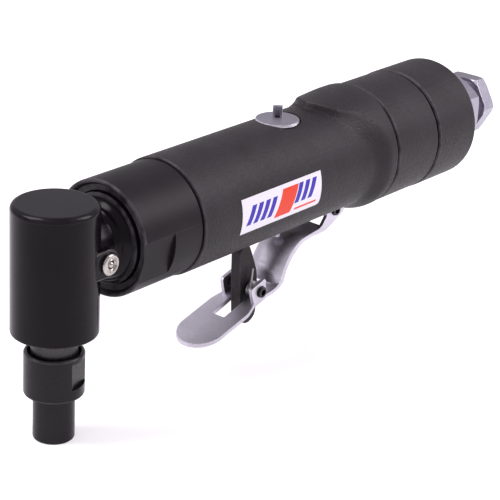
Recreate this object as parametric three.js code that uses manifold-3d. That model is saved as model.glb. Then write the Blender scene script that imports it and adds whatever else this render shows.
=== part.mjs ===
// Right-angle air die grinder: a round grip housing with a vane motor, a screwed-on angle head with a
// collet spindle, a rear exhaust section with the air inlet, and a sprung throttle lever with a lock.
// Units are millimetres, +Z is up. The body axis runs along X with the air inlet at +X. The spindle
// axis is vertical. Inside the "tool" group x is measured from the spindle axis and z from the body axis.
import * as THREE from 'three';
import { mergeVertices } from 'three/addons/utils/BufferGeometryUtils.js';
import Module from 'manifold-3d';

const wasm = await Module();
wasm.setup();

// ---------------------------------------------------------------- driving dimensions
const HEAD_R = 13.95; // angle head barrel
const HEAD_TOP = 17.05;
const HEAD_BOTTOM = -25.2;
const NOSE_BOTTOM = -62.0; // lowest point of the tool, the end of the collet nut
const NUT_R = 19.36; // clamp nut between head and grip
const NUT_FRONT = 20.1;
const NUT_REAR = 46.8;
const GRIP_R = 20.04;
const GRIP_FRONT = 47.3;
const GRIP_REAR = 148.6;
const FLARE_R = 23.26; // widest part of the grip, at its rear rim
const RING_R = 22.18; // exhaust ring
const RING_FRONT = 149.4;
const RING_REAR = 173.3;
const CAP_R = 22.4; // rear cap
const CAP_FRONT = 174.4;
const CAP_REAR = 197.5;
const INLET_END = 226.3; // rear face of the inlet hex
const BORE_R = 14.6; // motor bore of the grip
const PASSAGE_R = 6.0; // air passage behind the motor
const COLLAR_R = 9.7; // chuck collar on the spindle
const NOSE_R = 6.7; // collet nut
const SHANK_R = 3.175; // 1/4 inch tool shank
const HINGE_X = 133.2; // throttle lever hinge
const HINGE_Z = -18.9;
const LOCK_X = 92.9; // lock lever pivot
const LOCK_Z = -38.5;
const VALVE_X = 109.0;
const REGULATOR_X = 106.0;
const REGULATOR_BORE_R = 3.4;
const PIN_HOLE_R = 2.0; // for the hinge pin
const SHEET = 1.4; // throttle lever sheet thickness
const TEETH = 12; // both bevel gears
const GAP = 0.3; // between neighbouring pieces

// ---------------------------------------------------------------- materials
function finish(color, roughness, metalness) {
  return new THREE.MeshStandardMaterial({ color, roughness, metalness });
}
const blackAluminium = finish(0x2b282b, 0.42, 0.6);
const blackComposite = finish(0x2d2a2c, 0.62, 0.0);
const steel = finish(0xa9a5b3, 0.35, 1.0);
const darkSteel = finish(0x3a383b, 0.4, 0.9);
const brass = finish(0xc2a35a, 0.35, 1.0);
const rubber = finish(0x161616, 0.9, 0.0);
const felt = finish(0x6e6a62, 1.0, 0.0);
const whiteFilm = finish(0xf2f2f2, 0.5, 0.0);
const phenolic = finish(0x5a3d22, 0.7, 0.0);

// ---------------------------------------------------------------- shape helpers
// Keeps positions only, merges shared corners and turns the faces out.
function closed(source) {
  const bare = source.clone();
  bare.deleteAttribute('normal');
  bare.deleteAttribute('uv');
  const merged = mergeVertices(bare, 1e-4);
  const position = merged.attributes.position;
  const index = Array.from(merged.index.array);
  const kept = [];
  let volume = 0;
  const a = new THREE.Vector3();
  const b = new THREE.Vector3();
  const c = new THREE.Vector3();
  for (let i = 0; i < index.length; i += 3) {
    const [p, q, r] = index.slice(i, i + 3);
    if (p === q || q === r || r === p) continue;
    kept.push(p, q, r);
    a.fromBufferAttribute(position, p);
    b.fromBufferAttribute(position, q);
    c.fromBufferAttribute(position, r);
    volume += a.dot(b.cross(c)) / 6;
  }
  if (volume < 0) kept.reverse();
  merged.setIndex(kept);
  return merged;
}

function solid(source) {
  const shape = closed(source);
  const mesh = new wasm.Mesh({
    numProp: 3,
    vertProperties: new Float32Array(shape.attributes.position.array),
    triVerts: new Uint32Array(shape.index.array),
  });
  return new wasm.Manifold(mesh);
}

function shell(manifold) {
  const mesh = manifold.getMesh();
  const shape = new THREE.BufferGeometry();
  shape.setAttribute('position', new THREE.BufferAttribute(new Float32Array(mesh.vertProperties), 3));
  shape.setIndex(Array.from(mesh.triVerts));
  return shape;
}

// Turned about the body axis: profile points are [x, r].
function turnedX(profile, segments = 28) {
  const points = profile.map(([x, r]) => new THREE.Vector2(r, x));
  return new THREE.LatheGeometry(points, segments).rotateZ(-Math.PI / 2);
}

// Turned about the spindle axis: profile points are [r, z].
function turnedZ(profile, segments = 24) {
  const points = profile.map(([r, z]) => new THREE.Vector2(r, z));
  return new THREE.LatheGeometry(points, segments).rotateX(Math.PI / 2);
}

function tubeX(front, rear, outer, inner, segments = 20) {
  return turnedX([[front, inner], [front, outer], [rear, outer], [rear, inner], [front, inner]], segments);
}

function tubeZ(bottom, top, outer, inner, segments = 20) {
  return turnedZ([[inner, bottom], [outer, bottom], [outer, top], [inner, top], [inner, bottom]], segments);
}

function rodX(front, rear, radius, segments = 16) {
  return turnedX([[front, 0], [front, radius], [rear, radius], [rear, 0]], segments);
}

function rodZ(bottom, top, radius, segments = 16) {
  return turnedZ([[0, bottom], [radius, bottom], [radius, top], [0, top]], segments);
}

function rodY(x, z, near, far, radius, segments = 12) {
  return new THREE.CylinderGeometry(radius, radius, far - near, segments).translate(x, (near + far) / 2, z);
}

function block(x0, x1, y0, y1, z0, z1) {
  const box = new THREE.BoxGeometry(x1 - x0, y1 - y0, z1 - z0);
  return box.translate((x0 + x1) / 2, (y0 + y1) / 2, (z0 + z1) / 2);
}

// A flat plate cut to an outline in the X-Z plane, from y0 to y1. Outline points are [x, z].
function plateY(outline, y0, y1) {
  const shape = new THREE.Shape(outline.map(([x, z]) => new THREE.Vector2(x, z)));
  const plate = new THREE.ExtrudeGeometry(shape, { depth: y1 - y0, bevelEnabled: false });
  return plate.rotateX(Math.PI / 2).translate(0, y1, 0);
}

// A hexagonal bar along X with its corners at radius corner, turned by turn radians.
function hexX(front, rear, corner, turn) {
  return new THREE.CylinderGeometry(corner, corner, rear - front, 6)
    .rotateY(turn)
    .rotateZ(-Math.PI / 2)
    .translate((front + rear) / 2, 0, 0);
}

function smooth(from, to, value) {
  return THREE.MathUtils.smoothstep(value, from, to);
}

// ---------------------------------------------------------------- scene
const scene = new THREE.Group();
const tool = new THREE.Group();
tool.position.set(-(INLET_END - HEAD_R) / 2, 0, -NOSE_BOTTOM);
scene.add(tool);

function add(name, shape, material) {
  const geometry = shape.isBufferGeometry ? closed(shape) : shell(shape);
  const mesh = new THREE.Mesh(geometry, material);
  mesh.name = name;
  tool.add(mesh);
}

// ---------------------------------------------------------------- angle head
// Barrel, neck and flange in one casting, with a lug for the grease fitting.
const LUG_X = 10.2;
const LUG_Z = -1.7;
const LUG_R = 4.7;
const LUG_FACE = -13.2;
const NECK_R = 10.4;
const FLANGE_R = 15.0;
const SEAT_R = 17.4; // flange rim that the clamp nut pulls on
const SEAT_REAR = 28.0;
const GEAR_ROOM_R = 9.6;
const GEAR_ROOM_BOTTOM = -10.5;
const GEAR_ROOM_TOP = 9.0;

function angleHead() {
  const barrel = solid(turnedZ([
    [0, HEAD_BOTTOM], [HEAD_R - 0.5, HEAD_BOTTOM], [HEAD_R, HEAD_BOTTOM + 0.5],
    [HEAD_R, HEAD_TOP - 1.6], [HEAD_R - 1.6, HEAD_TOP], [0, HEAD_TOP],
  ], 32));
  const neck = solid(turnedX([
    [8, 0], [8, NECK_R], [15.5, NECK_R + 0.2], [18.4, 11.6], [20.4, 13.2], [20.1, FLANGE_R - 0.4],
    [20.6, FLANGE_R], [24.8, FLANGE_R], [24.8, SEAT_R], [SEAT_REAR, SEAT_R], [SEAT_REAR, 0],
  ]));
  const lugRoot = -6;
  const lug = solid(rodY(LUG_X, LUG_Z, LUG_FACE, lugRoot, LUG_R))
    .add(solid(block(0, LUG_X, LUG_FACE, lugRoot, LUG_Z - LUG_R, LUG_Z + LUG_R)));
  const gearRoom = solid(rodZ(GEAR_ROOM_BOTTOM, GEAR_ROOM_TOP, GEAR_ROOM_R, 20));
  const bearingBore = solid(rodZ(HEAD_BOTTOM - 1, GEAR_ROOM_BOTTOM, 11.7, 20));
  const topBore = solid(rodZ(GEAR_ROOM_TOP, 14.3, 7.9));
  const pinionBore = solid(rodX(0, SEAT_REAR + 2, 8.2));
  const fittingBore = solid(rodY(LUG_X, LUG_Z, LUG_FACE - 1, -7.2, 2.2));
  return barrel.add(neck).add(lug).subtract(gearRoom).subtract(bearingBore).subtract(topBore)
    .subtract(pinionBore).subtract(fittingBore);
}
add('angle_head', angleHead(), blackAluminium);

// Drive-in grease fitting: a flanged ring with a spring-loaded ball in its mouth.
function greaseFitting() {
  const bore = 1.25;
  const shankR = 1.9;
  const rimR = 3.55;
  const ring = [
    [bore, 4], [shankR, 4], [shankR, -0.15], [rimR, -0.15], [rimR, -0.6], [2.7, -1.1],
    [bore + 0.25, -1.1], [bore, -0.8], [bore, 4],
  ];
  const points = ring.map(([r, depth]) => new THREE.Vector2(r, LUG_FACE + depth));
  return new THREE.LatheGeometry(points, 20).translate(LUG_X, 0, LUG_Z);
}
add('grease_fitting', greaseFitting(), steel);
const BALL_R = 0.95;
add('grease_ball', new THREE.SphereGeometry(BALL_R, 10, 8).translate(LUG_X, LUG_FACE - 0.1, LUG_Z), steel);

// ---------------------------------------------------------------- clamp nut
// Draws the head flange against the grip; two wrench flats near its front edge.
const NUT_FLAT_DEPTH = 1.4;
const NUT_FLAT_LENGTH = 13.6;
const NUT_BORE_R = 18.0;
const NUT_LIP_R = 15.4; // hole in the lip in front of the flange
const NUT_FLAT_TURN = THREE.MathUtils.degToRad(11);

function clampNut() {
  const lipFront = NUT_FRONT + 1.4;
  const lipRear = 24.4;
  const ring = solid(turnedX([
    [lipFront, NUT_LIP_R], [lipFront, 17.6], [NUT_FRONT, 18.3], [NUT_FRONT, NUT_R - 0.5],
    [NUT_FRONT + 0.5, NUT_R], [NUT_REAR, NUT_R],
    [NUT_REAR, NUT_BORE_R], [lipRear, NUT_BORE_R], [lipRear, NUT_LIP_R], [lipFront, NUT_LIP_R],
  ], 32));
  const depth = NUT_R - NUT_FLAT_DEPTH;
  const near = new THREE.BoxGeometry(NUT_FLAT_LENGTH, 4, 30)
    .translate(NUT_FRONT + NUT_FLAT_LENGTH / 2, -depth - 2, 0)
    .rotateX(NUT_FLAT_TURN);
  const far = near.clone().rotateX(Math.PI);
  return ring.subtract(solid(near)).subtract(solid(far));
}
add('clamp_nut', clampNut(), blackAluminium);
add('head_seal', tubeX(SEAT_REAR + 0.1, SEAT_REAR + 0.4, 16.8, 15.2), rubber);

// ---------------------------------------------------------------- grip housing
// Round grip that flares into a rear rim. The flare starts furthest forward on top, where it makes a
// hood behind the regulator, and furthest back at the sides.
const HOOD_START = 119.5;
const SIDE_START = 137.0;
const FLARE_RUN = 6.5;
const GRIP_SEGMENTS = 36;

// angle is measured about the body axis from straight up.
function flareStart(angle) {
  const away = Math.abs(angle);
  return THREE.MathUtils.lerp(HOOD_START, SIDE_START, smooth(0.55, 1.15, away));
}

function gripRadius(x, angle) {
  const start = flareStart(angle);
  const rise = smooth(start, start + FLARE_RUN, x);
  const crest = THREE.MathUtils.lerp(22.3, FLARE_R, smooth(126, 144.6, x));
  return THREE.MathUtils.lerp(GRIP_R, crest, rise);
}

// Closed surface of stations along X: each ring has one radius per angle; both ends close on the axis.
function ringStack(rings) {
  const vertices = [];
  const faces = [];
  rings.forEach(({ x, radius }) => {
    for (let k = 0; k < GRIP_SEGMENTS; k += 1) {
      const turn = (k * 2 * Math.PI) / GRIP_SEGMENTS;
      const angle = turn > Math.PI ? turn - 2 * Math.PI : turn;
      const r = radius(angle);
      vertices.push(x, -r * Math.sin(angle), r * Math.cos(angle));
    }
  });
  const first = vertices.length / 3;
  vertices.push(rings[0].x, 0, 0, rings[rings.length - 1].x, 0, 0);
  for (let k = 0; k < GRIP_SEGMENTS; k += 1) {
    const next = (k + 1) % GRIP_SEGMENTS;
    faces.push(first, next, k);
    for (let i = 0; i + 1 < rings.length; i += 1) {
      const low = i * GRIP_SEGMENTS;
      const high = low + GRIP_SEGMENTS;
      faces.push(low + k, low + next, high + k, low + next, high + next, high + k);
    }
    const last = (rings.length - 1) * GRIP_SEGMENTS;
    faces.push(first + 1, last + k, last + next);
  }
  const shape = new THREE.BufferGeometry();
  shape.setAttribute('position', new THREE.BufferAttribute(new Float32Array(vertices), 3));
  shape.setIndex(faces);
  return shape;
}

const SPIGOT_FRONT = 28.7; // thread that the clamp nut runs on
const SPIGOT_R = 17.5;
const MOTOR_ROOM_REAR = 97.6;
const INLET_TUBE_R = 11.4;
const INLET_BORE_R = 8.6;
const VALVE_BORE_R = 5.3;
const EAR_INNER = 5.45; // pockets for the hinge ears of the throttle lever
const EAR_OUTER = 7.75;

function earPocket(side) {
  const y0 = Math.min(side * EAR_INNER, side * EAR_OUTER);
  return solid(block(126.3, 139.6, y0, y0 + EAR_OUTER - EAR_INNER, -30, -14.6));
}

function gripHousing() {
  const stations = [
    GRIP_FRONT + 0.5, HOOD_START, 122, 124, 126, 132, SIDE_START, 139, 141.5, 144, GRIP_REAR - 0.6,
  ];
  const outer = solid(ringStack([
    { x: GRIP_FRONT, radius: () => GRIP_R - 0.5 },
    ...stations.map((x) => ({ x, radius: (angle) => gripRadius(x, angle) })),
    { x: GRIP_REAR, radius: () => FLARE_R - 0.6 },
  ]));
  const spigot = solid(rodX(SPIGOT_FRONT, GRIP_FRONT + 2, SPIGOT_R, 24));
  const inletTube = solid(rodX(GRIP_REAR - 1, CAP_REAR - 1.5, INLET_TUBE_R, 20));
  let body = outer.add(spigot).add(inletTube);
  const cuts = [
    solid(rodX(SPIGOT_FRONT - 1, MOTOR_ROOM_REAR, BORE_R, 24)),
    solid(rodX(MOTOR_ROOM_REAR - 1, 151, PASSAGE_R)),
    solid(rodX(150, CAP_REAR, INLET_BORE_R)),
    solid(rodZ(-21, 0, VALVE_BORE_R)).translate([VALVE_X, 0, 0]),
    solid(rodZ(0, 21, REGULATOR_BORE_R)).translate([REGULATOR_X, 0, 0]),
    earPocket(-1),
    earPocket(1),
    solid(rodY(HINGE_X, HINGE_Z, -12, 12, PIN_HOLE_R)),
  ];
  for (const cut of cuts) body = body.subtract(cut);
  return body;
}
add('grip_housing', gripHousing(), blackComposite);

// Thin film label on the near side of the grip.
const LABEL_FRONT = 65.2;
const LABEL_REAR = 107.0;
const LABEL_HALF_ANGLE = THREE.MathUtils.degToRad(18.7);

function label() {
  const glueGap = 0.08;
  const inner = GRIP_R + glueGap;
  const outer = inner + 0.2;
  const arc = new THREE.Shape();
  arc.absarc(0, 0, outer, -LABEL_HALF_ANGLE, LABEL_HALF_ANGLE, false);
  arc.absarc(0, 0, inner, LABEL_HALF_ANGLE, -LABEL_HALF_ANGLE, true);
  const depth = LABEL_REAR - LABEL_FRONT;
  const film = new THREE.ExtrudeGeometry(arc, { depth, bevelEnabled: false, curveSegments: 5 });
  const near = new THREE.Vector3(0, -1, 0);
  const up = new THREE.Vector3(0, 0, 1);
  const forward = new THREE.Vector3(-1, 0, 0);
  return film.applyMatrix4(new THREE.Matrix4().makeBasis(near, up, forward)).translate(LABEL_REAR, 0, 0);
}
add('side_label', label(), whiteFilm);

// ---------------------------------------------------------------- exhaust section and rear cap
const WALL_R = 18.6; // inside of the ring and of the cap
const END_WALL = 3.2;
const TUBE_HOLE_R = INLET_TUBE_R + 0.5;

add('exhaust_ring', turnedX([
  [RING_FRONT, TUBE_HOLE_R], [RING_FRONT, RING_R - 0.5], [RING_FRONT + 0.5, RING_R], [RING_REAR, RING_R],
  [RING_REAR, WALL_R], [RING_FRONT + END_WALL, WALL_R], [RING_FRONT + END_WALL, TUBE_HOLE_R],
  [RING_FRONT, TUBE_HOLE_R],
], 32), blackComposite);
add('ring_gasket', tubeX(RING_REAR + 0.25, CAP_FRONT - 0.25, 21.0, WALL_R + 0.2), rubber);

const EXHAUST_HOLES = 8;
const EXHAUST_HOLE_R = 1.8;
const EXHAUST_CIRCLE_R = 15.4;

function rearCap() {
  let cap = solid(turnedX([
    [CAP_FRONT, WALL_R], [CAP_FRONT, CAP_R - 0.5], [CAP_FRONT + 0.5, CAP_R], [CAP_REAR, CAP_R],
    [CAP_REAR, TUBE_HOLE_R], [CAP_REAR - END_WALL, TUBE_HOLE_R], [CAP_REAR - END_WALL, WALL_R],
    [CAP_FRONT, WALL_R],
  ], 32));
  for (let k = 0; k < EXHAUST_HOLES; k += 1) {
    const hole = rodX(CAP_REAR - 5, CAP_REAR + 1, EXHAUST_HOLE_R, 8).translate(0, 0, EXHAUST_CIRCLE_R);
    cap = cap.subtract(solid(hole.rotateX(((k + 0.5) * 2 * Math.PI) / EXHAUST_HOLES)));
  }
  return cap;
}
add('rear_cap', rearCap(), blackComposite);
add('muffler_felt', tubeX(CAP_FRONT + 1.6, CAP_REAR - END_WALL - 0.4, WALL_R - 0.4, TUBE_HOLE_R + 0.1), felt);

// ---------------------------------------------------------------- air inlet
const BUSHING_HEX = 12.3; // corner radius of each hexagon
const BUSHING_REAR = 216.8;
const ADAPTER_HEX = 12.0;
const ADAPTER_FRONT = 220.4;
const SOCKET_R = 6.9; // the adapter screws into the bushing here
const SOCKET_BOTTOM = 206.6;
const MOUTH_R = 5.7; // tapered mouth for the air fitting
const MOUTH_BOTTOM = 211.0;

function chamferedHex(front, rear, corner, turn) {
  const low = corner - 0.9;
  const high = corner + 0.1;
  const cone = turnedX([
    [front, 0], [front, low], [front + 1, high], [rear - 1, high], [rear, low], [rear, 0],
  ], 18);
  return solid(hexX(front, rear, corner, turn)).intersect(solid(cone));
}

function inletBushing() {
  const stem = solid(rodX(182, 208.6, 8.2));
  const flange = solid(rodX(CAP_REAR + GAP, 201.5, 11.6));
  const hex = chamferedHex(208, BUSHING_REAR, BUSHING_HEX, Math.PI / 6);
  const neck = solid(rodX(201, 208.4, 10.4));
  const bore = solid(rodX(181, SOCKET_BOTTOM, 5.2));
  const socket = solid(rodX(SOCKET_BOTTOM - 0.6, BUSHING_REAR + 1, SOCKET_R));
  return stem.add(flange).add(hex).add(neck).subtract(bore).subtract(socket);
}
add('inlet_bushing', inletBushing(), steel);

function inletAdapter() {
  const hex = chamferedHex(ADAPTER_FRONT, INLET_END, ADAPTER_HEX, 0);
  const neck = solid(rodX(BUSHING_REAR + GAP, ADAPTER_FRONT + 0.2, 9.2));
  const stem = solid(rodX(208.0, BUSHING_REAR + 0.8, SOCKET_R - GAP));
  const mouth = solid(turnedX([
    [MOUTH_BOTTOM, 0], [MOUTH_BOTTOM, MOUTH_R], [INLET_END - 1.0, MOUTH_R + 0.2],
    [INLET_END + 0.1, MOUTH_R + 1.2], [INLET_END + 0.1, 0],
  ], 16));
  const bore = solid(rodX(206, MOUTH_BOTTOM + 1, 4.0, 12));
  return hex.add(neck).add(stem).subtract(mouth).subtract(bore);
}
add('inlet_adapter', inletAdapter(), steel);
add('inlet_screen', tubeX(SOCKET_BOTTOM + GAP, 207.6, SOCKET_R - 0.4, 1.0, 12), brass);

// ---------------------------------------------------------------- air motor, fixed pieces
const MOTOR_R = BORE_R - GAP;
const SHAFT_R = 4.0;
const RACE_R = SHAFT_R + 0.4; // inner radius of the bearings on the motor shaft
const LINER_FRONT = 44.0;
const LINER_REAR = 86.0;

add('front_end_plate', tubeX(38.0, LINER_FRONT - 0.4, MOTOR_R, SHAFT_R + 0.7), darkSteel);
add('cylinder_liner', tubeX(LINER_FRONT, LINER_REAR, MOTOR_R, 11.5), darkSteel);
add('rear_end_plate', tubeX(LINER_REAR + 0.4, 91.0, MOTOR_R, SHAFT_R + 0.7), darkSteel);
add('front_motor_bearing', tubeX(31.0, 37.6, 11.0, RACE_R), steel);
add('rear_motor_bearing', tubeX(91.4, 96.6, 9.5, RACE_R), steel);
add('pinion_bearing', tubeX(15.0, 20.0, 7.7, RACE_R), steel);
add('spindle_top_bearing', tubeZ(9.4, 14.0, 7.5, 3.6), steel);
add('spindle_lower_bearing', tubeZ(-20.0, -11.0, 11.3, 5.4), steel);
add('bearing_retainer', tubeZ(-24.9, -20.4, 11.3, 8.2), darkSteel);

// ---------------------------------------------------------------- bevel gears and rotor
const CONE_INNER = 5.0; // distances from the apex along each axis, equal to the pitch radius there
const CONE_OUTER = 7.4;
const ADDENDUM = 0.62;
const DEDENDUM = 0.85;
const TOOTH_SHARE = 0.36; // tooth width over pitch at the pitch cone

// Straight bevel gear with its apex at the origin and its axis along +X, teeth facing the apex. Each
// tooth is a wedge whose width shrinks with its distance from the apex.
function bevelGear(hubRear, hubRadius, boreRadius) {
  const s = Math.SQRT1_2;
  const root = (d) => [d + DEDENDUM * s, d - DEDENDUM * s];
  const blank = solid(turnedX([
    [root(CONE_INNER)[0], 0], root(CONE_INNER), root(CONE_OUTER), [CONE_OUTER + 1.4, CONE_OUTER - 0.4],
    [CONE_OUTER + 1.4, hubRadius], [hubRear, hubRadius], [hubRear, 0],
  ], TEETH * 2));
  let gear = blank;
  const half = (Math.PI / TEETH) * TOOTH_SHARE;
  const toothRoot = [-DEDENDUM - 0.25, 1.35]; // height over the pitch cone, width over the pitch width
  const tip = [ADDENDUM, 0.62];
  for (let k = 0; k < TEETH; k += 1) {
    const corners = [];
    for (const d of [CONE_INNER, CONE_OUTER]) {
      for (const [height, width] of [toothRoot, tip]) {
        for (const side of [-1, 1]) {
          const x = d - height * s;
          const r = d + height * s;
          const angle = side * half * width * (d / r);
          corners.push(new THREE.Vector3(x, r * Math.sin(angle), r * Math.cos(angle)));
        }
      }
    }
    gear = gear.add(wedge(corners).rotate([(k * 360) / TEETH, 0, 0]));
  }
  return boreRadius ? gear.subtract(solid(rodX(0, hubRear + 1, boreRadius))) : gear;
}

// Solid with eight corners: four at each end, in the order low-left, low-right, high-left, high-right.
function wedge(corners) {
  const quads = [[0, 1, 3, 2], [4, 6, 7, 5], [0, 4, 5, 1], [2, 3, 7, 6], [0, 2, 6, 4], [1, 5, 7, 3]];
  const shape = new THREE.BufferGeometry().setFromPoints(corners);
  shape.setIndex(quads.flatMap(([a, b, c, d]) => [a, b, c, a, c, d]));
  return solid(shape);
}

add('bevel_pinion', shell(bevelGear(13.0, 5.4, 3.3)), steel);
add('bevel_gear', shell(bevelGear(10.4, 5.6, 3.5)
  .rotate([360 / TEETH / 2, 0, 0])).rotateY(Math.PI / 2), steel);

const ROTOR_R = 10.2;
const ROTOR_FRONT = LINER_FRONT + 0.6;
const ROTOR_REAR = LINER_REAR - 0.6;
const VANES = 4;
const VANE_HALF = 0.8;
const VANE_FOOT = 5.9;
const VANE_TIP = 10.9;

function rotor() {
  const shaft = solid(rodX(8.6, 13.4, 3.0)).add(solid(rodX(13.3, 96.2, SHAFT_R)));
  const core = solid(rodX(ROTOR_FRONT, ROTOR_REAR, ROTOR_R, 24));
  let body = shaft.add(core);
  const slotHalf = VANE_HALF + 0.35;
  for (let k = 0; k < VANES; k += 1) {
    const slot = block(ROTOR_FRONT - 1, ROTOR_REAR + 1, -slotHalf, slotHalf, VANE_FOOT - 0.5, ROTOR_R + 2);
    body = body.subtract(solid(slot.rotateX((k * 2 * Math.PI) / VANES)));
  }
  return body;
}
add('rotor', rotor(), darkSteel);
for (let k = 0; k < VANES; k += 1) {
  const vane = block(ROTOR_FRONT + GAP, ROTOR_REAR - GAP, -VANE_HALF, VANE_HALF, VANE_FOOT, VANE_TIP)
    .rotateX((k * 2 * Math.PI) / VANES);
  add(`vane_${k + 1}`, vane, phenolic);
}

// ---------------------------------------------------------------- spindle and collet
const COLLAR_TOP = -31.7;
const COLLAR_BOTTOM = -46.2;
const COLLAR_FLAT_TURN = THREE.MathUtils.degToRad(20);
const COLLAR_FLAT_DEPTH = 1.3;
const COLLAR_FLAT_HEIGHT = 8.8;
const COLLAR_FLAT_MIDDLE = -37.9;

add('spindle', turnedZ([
  [0, 13.8], [3.2, 13.8], [3.2, -10.7], [5.0, -10.7], [5.0, -20.6], [7.5, -20.6], [7.5, -33.8],
  [5.2, -33.8], [5.2, -44.8], [3.6, -44.8], [3.6, -30.0], [0, -30.0],
]), darkSteel);

function chuckCollar() {
  const body = solid(turnedZ([
    [5.5, -34.9], [8.5, -34.4], [8.5, COLLAR_TOP - 0.2], [8.9, COLLAR_TOP], [COLLAR_R, COLLAR_TOP - 0.5],
    [COLLAR_R, COLLAR_BOTTOM + 0.5], [COLLAR_R - 0.5, COLLAR_BOTTOM],
    [7.0, COLLAR_BOTTOM], [7.0, -37.2], [5.5, -37.2], [5.5, -34.9],
  ], 28));
  const flat = new THREE.BoxGeometry(14, 4, COLLAR_FLAT_HEIGHT)
    .translate(0, -(COLLAR_R - COLLAR_FLAT_DEPTH) - 2, COLLAR_FLAT_MIDDLE)
    .rotateZ(COLLAR_FLAT_TURN);
  return body.subtract(solid(flat)).subtract(solid(flat.clone().rotateZ(Math.PI)));
}
add('chuck_collar', chuckCollar(), blackAluminium);
add('collet_nut', turnedZ([
  [5.5, -37.5], [NOSE_R, -37.5], [NOSE_R, NOSE_BOTTOM + 0.4], [NOSE_R - 0.4, NOSE_BOTTOM], [4.4, NOSE_BOTTOM],
  [4.4, -59.5], [5.5, -57.5], [5.5, -37.5],
]), darkSteel);

function collet() {
  let body = solid(turnedZ([
    [SHANK_R, -45.2], [5.1, -45.2], [5.1, -57.4], [4.0, -59.4], [4.0, -61.7], [SHANK_R, -61.7],
    [SHANK_R, -45.2],
  ], 18));
  const slit = block(-0.3, 0.3, 0, 8, -63, -49);
  for (let k = 0; k < 3; k += 1) {
    body = body.subtract(solid(slit.clone().rotateZ((k * 2 * Math.PI) / 3)));
  }
  return body;
}
add('collet', collet(), steel);

// ---------------------------------------------------------------- throttle valve and regulator
add('valve_seat', tubeZ(-19.2, -12.2, 5.0, 2.0, 12).translate(VALVE_X, 0, 0), brass);
add('valve_pin', turnedZ([
  [0, -24.6], [1.2, -24.6], [1.6, -24.2], [1.6, -11.9], [4.0, -11.9], [4.0, -10.2], [0, -10.2],
], 12).translate(VALVE_X, 0, 0), steel);

// Helical spring: wire swept along a helix about a vertical axis.
class Helix extends THREE.Curve {
  constructor(radius, bottom, top, turns) {
    super();
    Object.assign(this, { radius, bottom, top, turns });
  }

  getPoint(t, target = new THREE.Vector3()) {
    const angle = t * this.turns * 2 * Math.PI;
    const height = THREE.MathUtils.lerp(this.bottom, this.top, t);
    return target.set(this.radius * Math.cos(angle), this.radius * Math.sin(angle), height);
  }
}

function wire(curve, radius, steps) {
  const section = new THREE.Shape();
  section.absarc(0, 0, radius, 0, 2 * Math.PI, false);
  const options = { extrudePath: curve, steps, curveSegments: 3, bevelEnabled: false };
  return new THREE.ExtrudeGeometry(section, options);
}
add('valve_spring', wire(new Helix(3.0, -9.3, 4.6, 4), 0.45, 36).translate(VALVE_X, 0, 0), steel);

// Pressed disc on a stem in the grip, with a tab bent up from a slot as its thumb grip.
const DIAL_R = 8.3;
const DIAL_BOTTOM = 20.4;
const DIAL_TOP = 21.6;

function regulatorDial() {
  const disc = solid(turnedZ([
    [0, DIAL_BOTTOM], [DIAL_R - 0.3, DIAL_BOTTOM], [DIAL_R, DIAL_BOTTOM + 0.3],
    [DIAL_R - 0.2, DIAL_TOP - 0.1], [0, DIAL_TOP],
  ]));
  const slot = solid(block(-0.2, 2.9, -1.9, 1.9, 20, 22));
  const tab = solid(block(2.6, 3.7, -1.8, 1.8, 20.6, 24.4));
  return disc.subtract(slot).add(tab).translate([REGULATOR_X, 0, 0]);
}
add('regulator_dial', regulatorDial(), steel);
const stem = tubeZ(7.6, DIAL_BOTTOM - GAP, REGULATOR_BORE_R - 0.4, 1.0, 12);
add('regulator_stem', stem.translate(REGULATOR_X, 0, 0), brass);

// ---------------------------------------------------------------- throttle lever
// Pressed sheet: two ears on the hinge pin, a crowned step below the valve, a flat with two upright ears
// for the lock lever, and a broad finger tongue. Points are [x, z] of the sheet's lower side.
const LEVER_LINE = [
  [127.0, -25.0], [120.5, -25.7], [114.6, -26.9], [109.9, -30.4], [107.1, -34.0], [105.6, -38.4],
  [103.6, -39.9], [99.3, -41.4], [95.1, -42.0], [90.0, -43.4], [84.0, -45.4], [73.0, -48.4],
  [66.0, -50.3], [62.0, -51.3],
];
const LEVER_HALF = 7.3;
const TONGUE_HALF = 8.8;
const TONGUE_TIP = 62.0;
const CROWN = 2.3;

function leverHalfWidth(x) {
  const toTip = Math.max(0, TONGUE_TIP + TONGUE_HALF - x);
  const nose = Math.sqrt(Math.max(0, TONGUE_HALF ** 2 - toTip ** 2));
  const flank = THREE.MathUtils.lerp(TONGUE_HALF, LEVER_HALF, smooth(84, 91, x));
  return Math.max(1.6, Math.min(flank, nose));
}

function leverCrown(x) {
  return CROWN * smooth(102.6, 105.2, x) * (1 - smooth(114, 124, x));
}

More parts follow.
